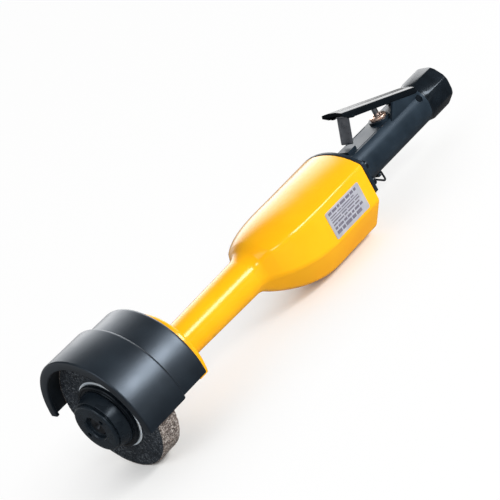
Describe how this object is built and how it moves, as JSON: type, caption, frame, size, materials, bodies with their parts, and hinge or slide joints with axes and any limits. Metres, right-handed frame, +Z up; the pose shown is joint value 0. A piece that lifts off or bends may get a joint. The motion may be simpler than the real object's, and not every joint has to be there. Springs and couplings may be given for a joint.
{
  "type": "straight grinder",
  "caption": "Air-driven straight grinder: an octagon inlet, a lever throttle handle, a yellow motor casing, a long neck, a half guard and a straight grinding wheel.",
  "frame": {"origin": "centre of the air inlet's mouth, on the spindle axis, at the rear end of the tool", "axes": "+X along the spindle axis from the inlet to the wheel, +Z up with the throttle lever on top, +Y to the side with the nameplate"},
  "size_m": [0.47, 0.1162, 0.1082],
  "materials": {
    "yellow_casting": "gloss enamel paint on an aluminium casting",
    "black_casting": "black coating on an aluminium casting",
    "black_steel": "black oxide on steel",
    "guard_steel": "satin black coating on pressed steel",
    "steel": "ground steel",
    "bright_steel": "zinc plated",
    "bearing_steel": "ground bearing steel",
    "iron": "machined",
    "brass": "turned, a little tarnished",
    "plate": "satin plate, left without words",
    "abrasive": "resin-bonded abrasive grain",
    "paper": "pressed card",
    "rubber": "moulded",
    "vane": "phenolic laminate",
    "felt": "pressed felt"
  },
  "bodies": {
    "tool": {"inlet_bushing": "black_steel", "inlet_screen": "brass", "throttle_handle": "black_casting", "housing_screws": "black_steel", "lever_pin": "black_steel", "valve_bush": "brass", "plunger_seal": "rubber", "valve_spring": "steel", "valve_plug": "black_steel", "rear_gasket": "rubber", "motor_housing": "yellow_casting", "neck_housing": "yellow_casting", "nameplate": "plate", "exhaust_silencer": "felt", "motor_cylinder": "iron", "rear_end_plate": "iron", "front_end_plate": "iron", "rotor_rear_bearing": "bearing_steel", "rotor_front_bearing": "bearing_steel", "rear_bearing": "bearing_steel", "front_bearing": "bearing_steel", "bearing_cap": "black_steel", "cap_screws": "black_steel", "wheel_guard": "guard_steel", "guard_screws": "black_steel"},
    "spindle_group": {"spindle": "steel", "shaft_coupling": "steel", "rotor": "steel", "rotor_vanes": "vane", "inner_flange": "black_steel", "rear_blotter": "paper", "grinding_wheel": "abrasive", "front_blotter": "paper", "outer_flange": "black_steel", "wheel_nut": "black_steel"},
    "lever": {"throttle_lever": "guard_steel", "lock_pin": "black_steel", "lock_spring": "steel"},
    "lock": {"lock_lever": "black_steel"},
    "valve": {"valve_plunger": "bright_steel", "throttle_valve": "brass"},
    "loop": {"hanging_loop": "black_steel"}
  },
  "joints": [
    {"name": "spindle_spin", "type": "hinge", "parent": "tool", "child": "spindle_group", "pos_m": [0, 0, 0], "axis": [1, 0, 0], "continuous": true},
    {"name": "lever_press", "type": "hinge", "parent": "tool", "child": "lever", "pos_m": [0.042, 0, 0.0096], "axis": [0, 1, 0], "range_deg": [0, 5], "stiffness_Nm_per_rad": 3, "springref_deg": -5.73},
    {"name": "lock_fold", "type": "hinge", "parent": "lever", "child": "lock", "pos_m": [0.11565, 0, 0.04084], "axis": [0, 1, 0], "range_deg": [0, 90]},
    {"name": "valve_travel", "type": "slide", "parent": "tool", "child": "valve", "axis": [0, 0, -1], "range_m": [0, 0.0034], "deforming": ["valve_spring"]},
    {"name": "loop_swing", "type": "hinge", "parent": "tool", "child": "loop", "pos_m": [0.111, 0, -0.021], "axis": [1, 0, 0], "range_deg": [-90, 90]}
  ],
  "couplings": [
    {"joint": "lock_fold", "follows": "lever_press", "ratio": 18},
    {"joint": "valve_travel", "follows": "lever_press", "m_per_rad": 0.0385}
  ]
}
